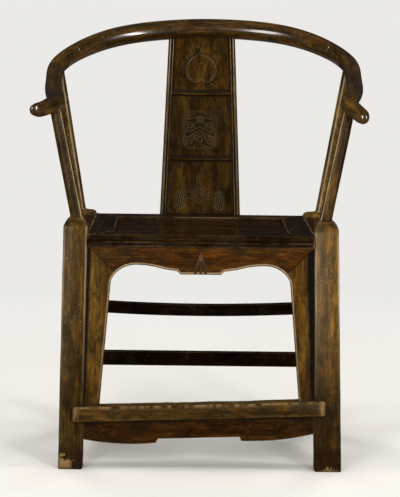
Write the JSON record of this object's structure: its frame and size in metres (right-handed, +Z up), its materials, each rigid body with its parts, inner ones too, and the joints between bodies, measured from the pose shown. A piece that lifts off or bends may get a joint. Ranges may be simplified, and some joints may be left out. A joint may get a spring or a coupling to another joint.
{
  "type": "horseshoe back armchair",
  "caption": "Open wooden armchair with a horseshoe shaped crest rail ending in handgrips, a framed back splat, a framed seat, an ogee apron and a footrest.",
  "frame": {"origin": "on the floor, under the middle of the chair's overall plan", "axes": "+Z up, -Y is the way a sitter faces, +X towards a viewer's right when the chair faces the viewer"},
  "size_m": [0.7228, 0.5943, 0.97],
  "materials": {
    "rail_wood": "oiled and worn",
    "leg_wood": "oiled and worn",
    "apron_wood": "oiled and worn",
    "seat_wood": "oiled and worn",
    "splat_wood": "oiled and worn",
    "stretcher_wood": "oiled and worn"
  },
  "bodies": {
    "root": {"crest_rail_back": "rail_wood", "crest_rail_arm_left": "rail_wood", "crest_rail_arm_right": "rail_wood", "crest_rail_grip_left": "rail_wood", "crest_rail_grip_right": "rail_wood", "crest_rail_wedges": "rail_wood", "front_leg_left": "leg_wood", "front_leg_right": "leg_wood", "rear_leg_left": "leg_wood", "rear_leg_right": "leg_wood", "splat_stile_left": "splat_wood", "splat_stile_right": "splat_wood", "splat_crossrail_lower": "splat_wood", "splat_crossrail_upper": "splat_wood", "splat_panel_bottom": "splat_wood", "splat_panel_middle": "splat_wood", "splat_panel_top": "splat_wood", "seat_front_rail": "seat_wood", "seat_rear_rail": "seat_wood", "seat_side_member_left": "seat_wood", "seat_side_member_right": "seat_wood", "seat_side_rail_left": "seat_wood", "seat_side_rail_right": "seat_wood", "seat_panel": "seat_wood", "seat_batten_left": "seat_wood", "seat_batten_right": "seat_wood", "front_apron": "apron_wood", "front_apron_side_left": "apron_wood", "front_apron_side_right": "apron_wood", "side_apron_left": "apron_wood", "side_apron_right": "apron_wood", "rear_apron": "apron_wood", "footrest": "leg_wood", "footrest_apron": "apron_wood", "rear_stretcher_upper": "stretcher_wood", "rear_stretcher_lower": "stretcher_wood", "side_stretcher_upper_left": "stretcher_wood", "side_stretcher_upper_right": "stretcher_wood", "side_stretcher_lower_left": "stretcher_wood", "side_stretcher_lower_right": "stretcher_wood"}
  },
  "joints": []
}
